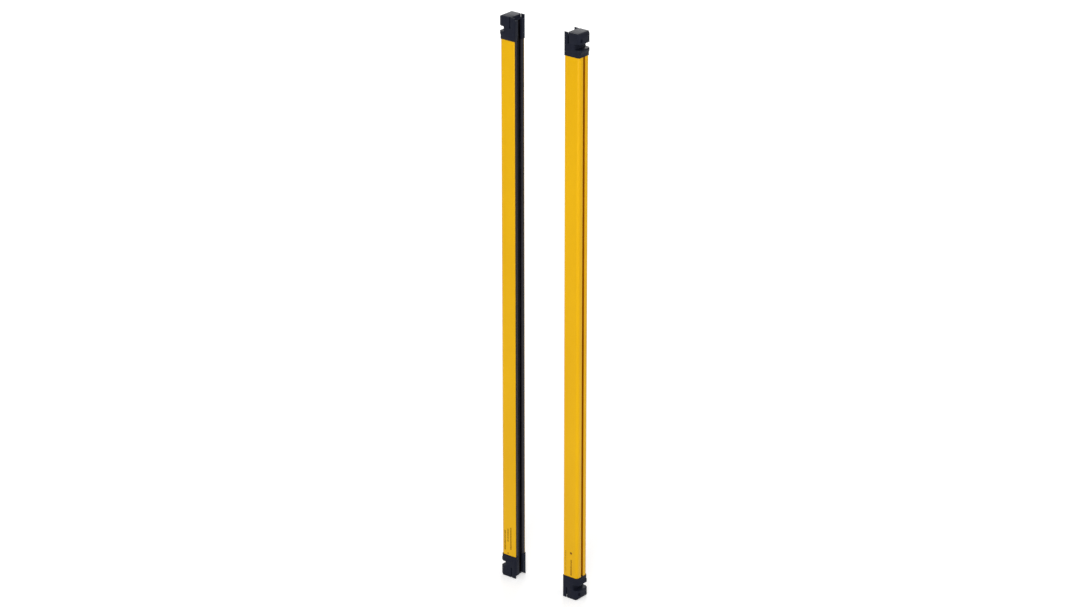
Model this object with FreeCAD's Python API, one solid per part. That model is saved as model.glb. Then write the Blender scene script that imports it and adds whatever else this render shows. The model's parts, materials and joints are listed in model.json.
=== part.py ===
import FreeCAD, Part
import math
import os

# Safety light curtain: a pair of slim upright bars, the emitter and the receiver, that face each
# other across the protective field. Each bar is a painted aluminium profile closed by two moulded
# end caps, with a dark window sunk between two front rails, and a T-slot down its back.
#
# Frame: +Z up along the bars, X along the light beams, Y across the bars. The origin is midway
# between the bars, at the level of their bottom ends. The emitter stands at -X and looks to +X.
# Every piece is drawn in the emitter's own place with the bar's middle on the Z axis, then moved.
# All sizes are in millimetres.

# ---- the set
BAR_LENGTH = 1150.0
BAR_SPACING = 152.0

# ---- the aluminium profile
PROFILE_WIDTH = 31.0
PROFILE_DEPTH = 34.0
WALL = 2.0
REAR_RADIUS = 6.0
FRONT_RADIUS = 2.4
LEDGE_THICKNESS = 2.0
THROAT_WIDTH = 13.0

# ---- the T-slot in the profile's back
SLOT_OPENING = 6.0
SLOT_NECK = 2.0
SLOT_CHAMBER_WIDTH = 10.0
SLOT_CHAMBER_DEPTH = 4.6
SLOT_WEB = 1.8
SLOT_LIP_RADIUS = 0.6

# ---- the window and the rails that hold it
WINDOW_GAP = 12.4
WINDOW_RECESS = 3.0
WINDOW_THICKNESS = 2.0
WINDOW_LAP = 1.8
WINDOW_END_WALL = 1.5
WINDOW_GASKET_THICKNESS = 0.8
RAIL_BEAD_HEIGHT = 0.5
RAIL_BEAD_WIDTH = 1.2
RAIL_EDGE_RADIUS = 0.6

# ---- the end caps
CAP_LENGTH = 46.0
CAP_TAPER_LENGTH = 5.5
CAP_PROUD = 1.2
CAP_JOINT_PROUD = 0.4
CAP_END_RADIUS = 8.5
CAP_EDGE_CHAMFER = 0.8
SHOE_PROUD = 3.3
SHOE_INSET = 2.2
SHOE_RADIUS = 5.5
SHOE_TAPER = 2.5
EAR_DEPTH = 9.2
EAR_THICKNESS = 2.0
EAR_RECESS = 6.0
SIDE_SLOT_WIDTH = 3.0
SIDE_SLOT_DEPTH = 2.6
SIDE_SLOT_END = 22.0
SLOT_POCKET_RADIUS = 2.0
SLOT_POCKET_DEPTH = 4.0
NOTCH_START = 20.0
NOTCH_HEIGHT = 11.0
NOTCH_DEPTH = 13.4
NOTCH_WALL = 1.6
NOTCH_ROOT_RADIUS = 1.5
NOTCH_LIP_RADIUS = 3.0
POCKET_WIDTH = 4.2
POCKET_HEIGHT = 6.0
POCKET_START = 9.5
POCKET_DEPTH = 4.3
POCKET_MARGIN = 1.4
CAP_HOLLOW_START = 24.0
TONGUE_LENGTH = 10.0
TONGUE_THICKNESS = 3.6
CAP_GASKET_THICKNESS = 0.8
CAP_GASKET_MARGIN = 0.5

# ---- the optics
BEAM_PITCH = 40.0
LENS_RADIUS = 14.0
LENS_HEIGHT = 1.4
LENS_WIDTH = 11.0
LENS_PLATE = 1.5
OPTICS_WIDTH = 18.0
CARRIER_THICKNESS = 8.7
CELL_LENGTH = 15.0
CELL_WIDTH = 10.0

# ---- the electronics
BOARD_THICKNESS = 1.6
INSULATOR_THICKNESS = 0.4
CONTROL_BOARD_WIDTH = 14.0
CONTROL_BOARD_START = 60.0
CONTROL_BOARD_LENGTH = 270.0
CHIP_THICKNESS = 1.5
CHIP_LENGTH = 12.0
CHIP_PITCH = 30.0
HEADER_LENGTH = 20.0
HEADER_WIDTH = 6.0
FLEX_THICKNESS = 0.5
FLEX_WIDTH = 6.0
LIGHT_PIPE_SIZE = 4.4
LIGHT_PIPE_START = 20.0

# ---- the plug-in connector in the bottom cap
THREAD_RADIUS = 6.0
SHELL_END = 3.5
WELL_DEPTH = 16.0
WELL_CLEARANCE = 1.6
SHELL_GRIP = 3.0
CONNECTOR_WALL = 1.2
CORE_RADIUS = 4.4
CORE_FACE = 9.0
PIN_RADIUS = 0.5
PIN_CIRCLE_RADIUS = 2.75
PIN_LENGTH = 4.5

# ---- clearances between pieces
FIT_CLEARANCE = 0.1
LOOSE_CLEARANCE = 0.2
OVERCUT = 1.0

# ---- planes and half widths that the sizes above give
FRONT = PROFILE_DEPTH / 2
REAR = -PROFILE_DEPTH / 2
HALF_WIDTH = PROFILE_WIDTH / 2
INNER_HALF = HALF_WIDTH - WALL
WINDOW_FRONT = FRONT - WINDOW_RECESS
WINDOW_REAR = WINDOW_FRONT - WINDOW_THICKNESS
SEAT = WINDOW_REAR - WINDOW_GASKET_THICKNESS
LEDGE_REAR = SEAT - LEDGE_THICKNESS
GAP_HALF = WINDOW_GAP / 2
WINDOW_HALF = GAP_HALF + WINDOW_LAP
WINDOW_SLOT_HALF = WINDOW_HALF + FIT_CLEARANCE
THROAT_HALF = THROAT_WIDTH / 2
CAVITY_REAR = REAR + SLOT_NECK + SLOT_CHAMBER_DEPTH + SLOT_WEB

CAP_REAR = REAR - SHOE_PROUD
CAP_FRONT = FRONT + CAP_PROUD
CAP_HALF = HALF_WIDTH + CAP_PROUD
SHOE_HALF = CAP_HALF - SHOE_INSET
EAR_REAR = CAP_FRONT - EAR_DEPTH
EAR_INNER_HALF = CAP_HALF - EAR_THICKNESS
WINDOW_END = EAR_RECESS + WINDOW_END_WALL
NOTCH_FLOOR = CAP_REAR + NOTCH_DEPTH
NOTCH_END = NOTCH_START + NOTCH_HEIGHT
TAPER_START = NOTCH_END + NOTCH_LIP_RADIUS
TAPER_END = TAPER_START + CAP_TAPER_LENGTH

OPTICS_HALF = OPTICS_WIDTH / 2
OPTICS_LOW = CAP_HOLLOW_START + OVERCUT
OPTICS_HIGH = BAR_LENGTH - OPTICS_LOW
LENS_PLATE_REAR = LEDGE_REAR - LENS_PLATE
CARRIER_REAR = LENS_PLATE_REAR - CARRIER_THICKNESS
BEAM_BOARD_REAR = CARRIER_REAR - BOARD_THICKNESS
FLEX_FRONT = BEAM_BOARD_REAR - LOOSE_CLEARANCE
FLEX_REAR = FLEX_FRONT - FLEX_THICKNESS
BEAM_COUNT = int((OPTICS_HIGH - OPTICS_LOW) / BEAM_PITCH)
FIRST_BEAM = (BAR_LENGTH - (BEAM_COUNT - 1) * BEAM_PITCH) / 2
CONTROL_BOARD_REAR = CAVITY_REAR + INSULATOR_THICKNESS
CONTROL_BOARD_FRONT = CONTROL_BOARD_REAR + BOARD_THICKNESS
CONTROL_BOARD_END = CONTROL_BOARD_START + CONTROL_BOARD_LENGTH

CONNECTOR_X = NOTCH_FLOOR + CONNECTOR_WALL + THREAD_RADIUS
WELL_RADIUS = THREAD_RADIUS + WELL_CLEARANCE
SLEEVE_END = WELL_DEPTH + SHELL_GRIP


def point(x, y, z=0.0):
    """Point or direction as FreeCAD takes it."""
    return FreeCAD.Vector(x, y, z)


def block(x_range, y_range, z_range):
    """Box between a low and a high limit on each axis."""
    ranges = (x_range, y_range, z_range)
    sizes = [high - low for low, high in ranges]
    corner = point(*[low for low, high in ranges])
    return Part.makeBox(*sizes, corner)


def middle_block(x_range, half_width, z_range):
    """Box that is centred across the bar."""
    return block(x_range, (-half_width, half_width), z_range)


def across(shape):
    """Copy of a shape on the other side of the bar's middle plane."""
    return shape.mirror(point(0, 0, 0), point(0, 1, 0))


def end_for_end(shape):
    """Copy of a bottom-end shape at the bar's top end."""
    return shape.mirror(point(0, 0, BAR_LENGTH / 2), point(0, 0, 1))


def upright_cylinder(radius, x, y, low, high):
    """Cylinder along Z."""
    return Part.makeCylinder(radius, high - low, point(x, y, low))


def rounded_wire(corners, place):
    """Closed wire through corners given as (a, b, radius), put in space by place(a, b)."""
    bends = []
    count = len(corners)
    for index, (a, b, radius) in enumerate(corners):
        here = point(a, b)
        to_last = (point(*corners[index - 1][:2]) - here).normalize()
        to_next = (point(*corners[(index + 1) % count][:2]) - here).normalize()
        half_angle = to_last.getAngle(to_next) / 2
        reach = radius / math.tan(half_angle)
        inward = (to_last + to_next).normalize() if radius else point(0, 0)
        crown = here + inward * (radius / math.sin(half_angle) - radius)
        bends.append((here + to_last * reach, crown, here + to_next * reach, radius))
    edges = []
    for index, (start, crown, end, radius) in enumerate(bends):
        last_end = bends[index - 1][2]
        if last_end.distanceToPoint(start) > 1e-6:
            edges.append(Part.makeLine(place(last_end.x, last_end.y), place(start.x, start.y)))
        if radius:
            spots = [place(spot.x, spot.y) for spot in (start, crown, end)]
            edges.append(Part.Arc(*spots).toShape())
    return Part.Wire(edges)


def plan_wire(corners, z):
    """Wire in a level plane, from corners (x, y, radius)."""
    return rounded_wire(corners, lambda x, y: point(x, y, z))


def plan_prism(corners, low, high):
    """Upright prism on a level outline."""
    return Part.Face(plan_wire(corners, low)).extrude(point(0, 0, high - low))


def side_prism(corners, half_width):
    """Prism across the bar on an outline seen from the side, from corners (x, z, radius)."""
    wire = rounded_wire(corners, lambda x, z: point(x, -half_width, z))
    return Part.Face(wire).extrude(point(0, 2 * half_width, 0))


def bar_outline(grow=0.0):
    """Corners of the profile's outline seen from above, grown all round by an offset."""
    rear = REAR - grow
    front = FRONT + grow
    half = HALF_WIDTH + grow
    return [
        (rear, -half, REAR_RADIUS + grow),
        (front, -half, FRONT_RADIUS + grow),
        (front, half, FRONT_RADIUS + grow),
        (rear, half, REAR_RADIUS + grow),
    ]


def bead_range():
    """Depth range of the groove in the profile's side walls that the rails snap into."""
    middle = (WINDOW_FRONT + SEAT) / 2
    return middle - RAIL_BEAD_WIDTH / 2, middle + RAIL_BEAD_WIDTH / 2


def make_housing():
    """Extruded profile: board cavity, window ledges, open front and rear T-slot."""
    low = CAP_LENGTH
    high = BAR_LENGTH - CAP_LENGTH
    whole = (low - OVERCUT, high + OVERCUT)
    body = plan_prism(bar_outline(), low, high)
    neck_end = REAR + SLOT_NECK
    chamber_end = neck_end + SLOT_CHAMBER_DEPTH
    bead_low, bead_high = bead_range()
    groove = (bead_low - FIT_CLEARANCE, bead_high + FIT_CLEARANCE)
    groove_half = INNER_HALF + RAIL_BEAD_HEIGHT + FIT_CLEARANCE
    body = body.cut([
        middle_block((CAVITY_REAR, LEDGE_REAR), INNER_HALF, whole),
        middle_block((LEDGE_REAR - OVERCUT, SEAT + OVERCUT), THROAT_HALF, whole),
        middle_block((SEAT, FRONT + OVERCUT), INNER_HALF, whole),
        middle_block(groove, groove_half, whole),
        middle_block((REAR - OVERCUT, neck_end + OVERCUT), SLOT_OPENING / 2, whole),
        middle_block((neck_end, chamber_end), SLOT_CHAMBER_WIDTH / 2, whole),
    ])
    lips = [edge for edge in body.Edges if is_slot_lip(edge)]
    return body.makeFillet(SLOT_LIP_RADIUS, lips)


def is_slot_lip(edge):
    """Whether an edge is one of the two long outer lips of the T-slot."""
    middle = edge.CenterOfMass
    at_back = abs(middle.x - REAR) < 1e-3
    return at_back and abs(abs(middle.y) - SLOT_OPENING / 2) < 1e-3 and edge.Length > PROFILE_DEPTH


def make_rail():
    """Front rail on one side: laps over the window's edge and snaps into the profile's wall."""
    outer = INNER_HALF - FIT_CLEARANCE
    bead_low, bead_high = bead_range()
    bead_half = INNER_HALF + RAIL_BEAD_HEIGHT
    corners = [
        (SEAT, WINDOW_SLOT_HALF, 0),
        (WINDOW_FRONT, WINDOW_SLOT_HALF, 0),
        (WINDOW_FRONT, GAP_HALF, 0),
        (FRONT, GAP_HALF, RAIL_EDGE_RADIUS),
        (FRONT, outer, RAIL_EDGE_RADIUS),
        (bead_high, outer, 0),
        (bead_high, bead_half, 0),
        (bead_low, bead_half, 0),
        (bead_low, outer, 0),
        (SEAT, outer, 0),
    ]
    return plan_prism(corners, CAP_LENGTH, BAR_LENGTH - CAP_LENGTH)


def make_window():
    """Dark screen that runs nearly the whole length of the bar, into both caps."""
    margin = WINDOW_END + FIT_CLEARANCE
    return middle_block((WINDOW_REAR, WINDOW_FRONT), WINDOW_HALF, (margin, BAR_LENGTH - margin))


def make_window_gasket():
    """Flat rubber frame under the window's edges."""
    margin = WINDOW_END + FIT_CLEARANCE
    border = WINDOW_HALF - THROAT_HALF
    layer = (SEAT, WINDOW_REAR)
    frame = middle_block(layer, WINDOW_HALF, (margin, BAR_LENGTH - margin))
    inside = (margin + border, BAR_LENGTH - margin - border)
    return frame.cut(middle_block((SEAT - OVERCUT, WINDOW_REAR + OVERCUT), THROAT_HALF, inside))


def cap_side_outline():
    """Bottom cap seen from the side: round rear end, C-shaped bracket notch and tapered foot."""
    return [
        (CAP_FRONT - CAP_EDGE_CHAMFER, 0, 0),
        (CAP_FRONT, CAP_EDGE_CHAMFER, 0),
        (CAP_FRONT, TAPER_START, 0),
        (FRONT + CAP_JOINT_PROUD, TAPER_END, 0),
        (FRONT + CAP_JOINT_PROUD, CAP_LENGTH, 0),
        (REAR - CAP_JOINT_PROUD, CAP_LENGTH, 0),
        (REAR - CAP_JOINT_PROUD, TAPER_END, 0),
        (CAP_REAR, TAPER_START, NOTCH_LIP_RADIUS / 2),
        (CAP_REAR, NOTCH_END, NOTCH_LIP_RADIUS / 2),
        (NOTCH_FLOOR, NOTCH_END, NOTCH_ROOT_RADIUS),
        (NOTCH_FLOOR, NOTCH_START, NOTCH_ROOT_RADIUS),
        (CAP_REAR, NOTCH_START, NOTCH_ROOT_RADIUS),
        (CAP_REAR, 0, CAP_END_RADIUS),
    ]


def cap_front_prism(half, foot_half):
    """Bottom cap seen from the front: chamfered end, straight sides and tapered foot."""
    right = [
        (half - CAP_EDGE_CHAMFER, 0),
        (half, CAP_EDGE_CHAMFER),
        (half, TAPER_START),
        (foot_half, TAPER_END),
        (foot_half, CAP_LENGTH),
    ]
    left = [(-y, z) for y, z in reversed(right)]
    corners = [point(CAP_REAR, y, z) for y, z in right + left]
    face = Part.Face(Part.makePolygon(corners + corners[:1]))
    return face.extrude(point(CAP_FRONT - CAP_REAR, 0, 0))


def cap_blank():
    """Solid bottom cap: body round the profile's outline and a thicker shoe on its back."""
    shoe_plan = [
        (CAP_REAR, -SHOE_HALF, SHOE_RADIUS),
        (0, -SHOE_HALF, 0),
        (0, SHOE_HALF, 0),
        (CAP_REAR, SHOE_HALF, SHOE_RADIUS),
    ]
    body = plan_prism(bar_outline(CAP_PROUD), 0, CAP_LENGTH)
    body = body.common(cap_front_prism(CAP_HALF, HALF_WIDTH + CAP_JOINT_PROUD))
    shoe = plan_prism(shoe_plan, 0, CAP_LENGTH)
    shoe = shoe.common(cap_front_prism(SHOE_HALF, SHOE_HALF - SHOE_TAPER))
    return body.fuse(shoe).common(side_prism(cap_side_outline(), CAP_HALF)).removeSplitter()


def window_channel():
    """Cuts that let the window and its gasket run on into a cap, and the gap between its ears."""
    beyond = CAP_LENGTH + OVERCUT
    return [
        middle_block((EAR_REAR, CAP_FRONT + OVERCUT), EAR_INNER_HALF, (-OVERCUT, EAR_RECESS)),
        middle_block((WINDOW_FRONT, CAP_FRONT + OVERCUT), GAP_HALF, (-OVERCUT, beyond)),
        middle_block((SEAT, WINDOW_FRONT), WINDOW_SLOT_HALF, (WINDOW_END, beyond)),
    ]


def side_slot():
    """Groove down a cap's side behind the ear, ending in a deeper round pocket."""
    front = EAR_REAR
    rear = front - SIDE_SLOT_WIDTH
    centre = SIDE_SLOT_END - SLOT_POCKET_RADIUS
    floor = CAP_HALF - SIDE_SLOT_DEPTH
    slot = block((rear, front), (floor, CAP_HALF + OVERCUT), (-OVERCUT, centre))
    bottom = point((rear + front) / 2, CAP_HALF - SLOT_POCKET_DEPTH, centre)
    depth = SLOT_POCKET_DEPTH + OVERCUT
    return slot.fuse(Part.makeCylinder(SLOT_POCKET_RADIUS, depth, bottom, point(0, 1, 0)))


def rear_pocket():
    """Small square pocket in a rounded rear corner of a cap."""
    outer = SHOE_HALF - POCKET_MARGIN
    depth = (CAP_REAR - OVERCUT, CAP_REAR + POCKET_DEPTH)
    height = (POCKET_START, POCKET_START + POCKET_HEIGHT)
    return block(depth, (outer - POCKET_WIDTH, outer), height)


def cap_hollow():
    """Space inside a cap for the ends of the optics and the boards."""
    height = (CAP_HOLLOW_START, CAP_LENGTH + OVERCUT)
    above_notch = (NOTCH_END + NOTCH_WALL, CAP_LENGTH + OVERCUT)
    optics_half = OPTICS_HALF + LOOSE_CLEARANCE
    board_half = CONTROL_BOARD_WIDTH / 2 + LOOSE_CLEARANCE
    flex_half = FLEX_WIDTH / 2 + LOOSE_CLEARANCE
    return [
        middle_block((BEAM_BOARD_REAR - LOOSE_CLEARANCE, LEDGE_REAR), optics_half, height),
        middle_block((CAVITY_REAR, BEAM_BOARD_REAR), board_half, above_notch),
        middle_block((FLEX_REAR - LOOSE_CLEARANCE, BEAM_BOARD_REAR), flex_half, height),
        middle_block((LEDGE_REAR - OVERCUT, SEAT + OVERCUT), THROAT_HALF, height),
    ]


def tongue():
    """Locating tongue on a cap that slides into the profile's cavity, beside the optics."""
    outer = INNER_HALF - LOOSE_CLEARANCE
    return block(
        (BEAM_BOARD_REAR, LEDGE_REAR - LOOSE_CLEARANCE),
        (outer - TONGUE_THICKNESS, outer),
        (CAP_LENGTH - OVERCUT, CAP_LENGTH + TONGUE_LENGTH),
    )


def make_gasket():
    """Flat gasket round the cavity's mouth, bedded in the cap's joint face."""
    layer = (CAP_LENGTH - CAP_GASKET_THICKNESS, CAP_LENGTH)
    through = (layer[0] - OVERCUT, layer[1] + OVERCUT)
    rear = CAVITY_REAR - CAP_GASKET_MARGIN
    front = LEDGE_REAR + CAP_GASKET_MARGIN
    plate = middle_block((rear, front), INNER_HALF + CAP_GASKET_MARGIN, layer)
    board_half = CONTROL_BOARD_WIDTH / 2 + LOOSE_CLEARANCE
    return plate.cut([
        middle_block((BEAM_BOARD_REAR, LEDGE_REAR), INNER_HALF - LOOSE_CLEARANCE, through),
        middle_block((LEDGE_REAR - OVERCUT, SEAT + OVERCUT), THROAT_HALF, through),
        middle_block((CAVITY_REAR, BEAM_BOARD_REAR + OVERCUT), board_half, through),
    ])


def make_cap():
    """Moulded end cap as both ends have it, drawn at the bottom end."""
    cap = cap_blank()
    cuts = window_channel() + cap_hollow()
    for cut in (side_slot(), rear_pocket()):
        cuts += [cut, across(cut)]
    cap = cap.cut(cuts)
    cap = cap.fuse([tongue(), across(tongue())])
    return cap.cut(make_gasket()).removeSplitter()


def make_bottom_cap():
    """Bottom cap: the common cap with the connector's well and the light pipe's duct."""
    well = upright_cylinder(WELL_RADIUS, CONNECTOR_X, 0, -OVERCUT, WELL_DEPTH)
    seat = upright_cylinder(THREAD_RADIUS, CONNECTOR_X, 0, 0, SLEEVE_END)
    bore = upright_cylinder(CORE_RADIUS, CONNECTOR_X, 0, 0, OPTICS_LOW)
    return make_cap().cut([well, seat, bore] + pipe_pieces(LOOSE_CLEARANCE))


def pipe_pieces(grow=0.0):
    """The two legs of the light pipe: one to the window, one up to the optics carrier."""
    half = LIGHT_PIPE_SIZE / 2 + grow
    rear = CONNECTOR_X + CORE_RADIUS + CONNECTOR_WALL - grow
    low = LIGHT_PIPE_START - grow
    bend = LIGHT_PIPE_START + LIGHT_PIPE_SIZE + grow
    foot = middle_block((rear, WINDOW_REAR - FIT_CLEARANCE), half, (low, bend))
    leg = middle_block((rear, LENS_PLATE_REAR + grow), half, (low, OPTICS_LOW))
    return [foot, leg]


def make_light_pipe():
    """Clear pipe that carries the status lamps' light to the window."""
    foot, leg = pipe_pieces()
    return foot.fuse(leg).removeSplitter()


def hexagon(radius, x, y, low, high):
    """Upright six-sided prism of a given corner radius."""
    corners = []
    for index in range(6):
        angle = math.radians(60 * index)
        corners.append((x + radius * math.cos(angle), y + radius * math.sin(angle), 0))
    return plan_prism(corners, low, high)


def beam_heights():
    """Height of each light beam."""
    return [FIRST_BEAM + index * BEAM_PITCH for index in range(BEAM_COUNT)]


def make_lens_strip():
    """Clear strip with one convex lens per beam, pressed up against the profile's ledges."""
    plate = middle_block((LENS_PLATE_REAR, LEDGE_REAR), OPTICS_HALF, (OPTICS_LOW, OPTICS_HIGH))
    half_chord = math.sqrt(LENS_RADIUS**2 - (LENS_RADIUS - LENS_HEIGHT) ** 2)
    lenses = []
    for z in beam_heights():
        low = point(LEDGE_REAR, -LENS_WIDTH / 2, z - half_chord)
        crown = point(LEDGE_REAR + LENS_HEIGHT, -LENS_WIDTH / 2, z)
        high = point(LEDGE_REAR, -LENS_WIDTH / 2, z + half_chord)
        rim = Part.Wire([Part.Arc(low, crown, high).toShape(), Part.makeLine(high, low)])
        lenses.append(Part.Face(rim).extrude(point(0, LENS_WIDTH, 0)))
    return plate.fuse(lenses)


def make_optics_carrier():
    """Black carrier that holds each lens at its focal distance, with one light cell per beam."""
    block_range = (CARRIER_REAR, LENS_PLATE_REAR)
    carrier = middle_block(block_range, OPTICS_HALF, (OPTICS_LOW, OPTICS_HIGH))
    depth = (CARRIER_REAR - OVERCUT, LENS_PLATE_REAR + OVERCUT)
    cells = []
    for z in beam_heights():
        cells.append(middle_block(depth, CELL_WIDTH / 2, (z - CELL_LENGTH / 2, z + CELL_LENGTH / 2)))
    return carrier.cut(cells)


def make_beam_board():
    """Long board that carries the beam elements, behind the optics carrier."""
    return middle_block((BEAM_BOARD_REAR, CARRIER_REAR), OPTICS_HALF, (OPTICS_LOW, OPTICS_HIGH))


def make_beam_elements(length, width, height):
    """One light source or photodiode per beam, on the front of the beam board."""
    chips = []
    for z in beam_heights():
        depth = (CARRIER_REAR, CARRIER_REAR + height)
        chips.append(middle_block(depth, width / 2, (z - length / 2, z + length / 2)))
    return Part.makeCompound(chips)


def make_insulator():
    """Insulating film between the control board and the profile."""
    half = CONTROL_BOARD_WIDTH / 2
    return middle_block((CAVITY_REAR, CONTROL_BOARD_REAR), half, (CONTROL_BOARD_START, CONTROL_BOARD_END))


def make_control_board():
    """Control board on the insulating film, at the bar's connector end."""
    half = CONTROL_BOARD_WIDTH / 2
    depth = (CONTROL_BOARD_REAR, CONTROL_BOARD_FRONT)
    return middle_block(depth, half, (CONTROL_BOARD_START, CONTROL_BOARD_END))


def make_control_chips():
    """Row of chips on the control board."""
    chips = []
    first = CONTROL_BOARD_START + CHIP_PITCH / 2
    count = int((CONTROL_BOARD_LENGTH - 2 * HEADER_LENGTH) / CHIP_PITCH)
    for index in range(count):
        low = first + index * CHIP_PITCH
        depth = (CONTROL_BOARD_FRONT, CONTROL_BOARD_FRONT + CHIP_THICKNESS)
        chips.append(middle_block(depth, CHIP_LENGTH / 2, (low, low + CHIP_LENGTH)))
    return Part.makeCompound(chips)


def make_board_header():
    """Plug-in header that joins the control board to the beam board."""
    depth = (CONTROL_BOARD_FRONT, BEAM_BOARD_REAR)
    high = CONTROL_BOARD_END - HEADER_LENGTH
    return middle_block(depth, HEADER_WIDTH / 2, (high - HEADER_LENGTH, high))


def make_flex_cable():
    """Flat flexible lead from the connector's core, behind the beam board, to the control board."""
    half = FLEX_WIDTH / 2
    bend = CAP_LENGTH + FLEX_WIDTH
    low_leg = middle_block((FLEX_REAR, FLEX_FRONT), half, (OPTICS_LOW, bend))
    step = middle_block((CONTROL_BOARD_FRONT, FLEX_FRONT), half, (bend - FLEX_THICKNESS, bend))
    depth = (CONTROL_BOARD_FRONT, CONTROL_BOARD_FRONT + FLEX_THICKNESS)
    high_leg = middle_block(depth, half, (bend - FLEX_THICKNESS, CONTROL_BOARD_START + FLEX_WIDTH))
    return low_leg.fuse([step, high_leg]).removeSplitter()


def make_connector_shell():
    """Threaded metal sleeve of the connector, moulded into the cap behind its well."""
    sleeve = upright_cylinder(THREAD_RADIUS, CONNECTOR_X, 0, SHELL_END, SLEEVE_END)
    return sleeve.cut(upright_cylinder(CORE_RADIUS, CONNECTOR_X, 0, 0, OPTICS_LOW))


def make_connector_core():
    """Plastic core of the connector that carries the pins."""
    return upright_cylinder(CORE_RADIUS, CONNECTOR_X, 0, CORE_FACE, OPTICS_LOW)


def make_connector_pins(count):
    """Contact pins in the connector's cup: one in the middle and the rest on a circle."""
    places = [(CONNECTOR_X, 0.0)]
    for index in range(count - 1):
        angle = 2 * math.pi * index / (count - 1)
        x = CONNECTOR_X + PIN_CIRCLE_RADIUS * math.cos(angle)
        places.append((x, PIN_CIRCLE_RADIUS * math.sin(angle)))
    pins = [hexagon(PIN_RADIUS, x, y, CORE_FACE - PIN_LENGTH, CORE_FACE) for x, y in places]
    return Part.makeCompound(pins)


def make_bar(pin_count, element_size):
    """All pieces of one bar by name, in the bar's own place."""
    rail = make_rail()
    gasket = make_gasket()
    return {
        "housing": make_housing(),
        "front_rail_left": rail,
        "front_rail_right": across(rail),
        "window": make_window(),
        "window_gasket": make_window_gasket(),
        "top_cap": end_for_end(make_cap()),
        "top_cap_gasket": end_for_end(gasket),
        "bottom_cap": make_bottom_cap(),
        "bottom_cap_gasket": gasket,
        "lens_strip": make_lens_strip(),
        "optics_carrier": make_optics_carrier(),
        "beam_board": make_beam_board(),
        "beam_elements": make_beam_elements(*element_size),
        "insulator": make_insulator(),
        "control_board": make_control_board(),
        "control_chips": make_control_chips(),
        "board_header": make_board_header(),
        "flex_cable": make_flex_cable(),
        "light_pipe": make_light_pipe(),
        "connector_shell": make_connector_shell(),
        "connector_core": make_connector_core(),
        "connector_pins": make_connector_pins(pin_count),
    }


def export(name, shape):
    """Write one piece as a STEP file named after it."""
    if not shape.isValid():
        raise RuntimeError(f"{name} is not a valid solid")
    shape.exportStep(f"parts/{name}.step")


def main():
    """Build both bars and write every piece."""
    os.makedirs("parts", exist_ok=True)
    emitter = make_bar(pin_count=5, element_size=(3.0, 3.0, 1.5))
    receiver = make_bar(pin_count=8, element_size=(5.0, 4.0, 1.2))
    for name, shape in emitter.items():
        placed = shape.copy()
        placed.translate(point(-BAR_SPACING / 2, 0, 0))
        export(f"emitter_{name}", placed)
    for name, shape in receiver.items():
        placed = shape.copy()
        placed.translate(point(-BAR_SPACING / 2, 0, 0))
        placed.rotate(point(0, 0, 0), point(0, 0, 1), 180)
        export(f"receiver_{name}", placed)


main()
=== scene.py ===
"""Safety light curtain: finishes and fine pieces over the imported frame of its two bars.

The emitter stands at -X and the receiver at +X, and their windows face each other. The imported
frame gives every place; this script adds softened skins for the moulded and extruded pieces, the
threaded sockets with their pins, the plain printed marks, the finishes and the studio.
"""

import json
import logging
import math
from abc import ABC, abstractmethod
from dataclasses import dataclass, field
from enum import Enum

import bmesh
import bpy
from bpy.types import Material, Mesh, Node, NodeSocket, NodeTree, Object
from mathutils import Matrix, Vector


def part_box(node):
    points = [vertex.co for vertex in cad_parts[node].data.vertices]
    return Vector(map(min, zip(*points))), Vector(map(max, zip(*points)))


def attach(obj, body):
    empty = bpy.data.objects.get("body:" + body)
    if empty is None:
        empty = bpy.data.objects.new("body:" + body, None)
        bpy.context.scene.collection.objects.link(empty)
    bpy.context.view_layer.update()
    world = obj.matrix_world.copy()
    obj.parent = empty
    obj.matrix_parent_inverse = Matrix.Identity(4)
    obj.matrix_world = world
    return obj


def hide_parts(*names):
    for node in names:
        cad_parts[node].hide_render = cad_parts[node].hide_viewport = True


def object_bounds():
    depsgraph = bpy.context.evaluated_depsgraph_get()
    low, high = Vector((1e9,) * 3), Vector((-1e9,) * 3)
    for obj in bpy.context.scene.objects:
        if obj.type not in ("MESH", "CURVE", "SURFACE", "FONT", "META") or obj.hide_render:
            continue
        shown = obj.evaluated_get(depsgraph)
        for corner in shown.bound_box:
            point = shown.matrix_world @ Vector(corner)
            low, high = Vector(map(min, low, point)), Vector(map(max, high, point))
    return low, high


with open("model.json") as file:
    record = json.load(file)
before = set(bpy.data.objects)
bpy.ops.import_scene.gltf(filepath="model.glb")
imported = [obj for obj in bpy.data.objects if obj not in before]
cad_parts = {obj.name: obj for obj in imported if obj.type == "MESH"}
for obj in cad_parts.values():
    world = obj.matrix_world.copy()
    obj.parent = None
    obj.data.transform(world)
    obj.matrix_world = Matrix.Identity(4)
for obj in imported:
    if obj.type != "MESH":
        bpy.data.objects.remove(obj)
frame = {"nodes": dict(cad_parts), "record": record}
CAD_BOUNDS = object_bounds()

LOG = logging.getLogger("light_curtain")
MM = 0.001
BODY = "root"
Colour = tuple[float, float, float]
Triple = tuple[float, float, float]
Span = tuple[float, float]


# ---- Names -------------------------------------------------------------------


class Slot(Enum):
    """The record's material slots."""

    COAT = "yellow_coat"
    CAP = "cap_plastic"
    RAIL = "rail_plastic"
    WINDOW = "window_black"
    RUBBER = "seal_rubber"
    CLEAR = "clear_plastic"
    CARRIER = "carrier_plastic"
    BOARD = "board_green"
    ELEMENT = "element_amber"
    FILM = "insulator_film"
    CHIP = "chip_black"
    NICKEL = "nickel"
    INSERT = "insert_plastic"
    GOLD = "gold"


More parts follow.
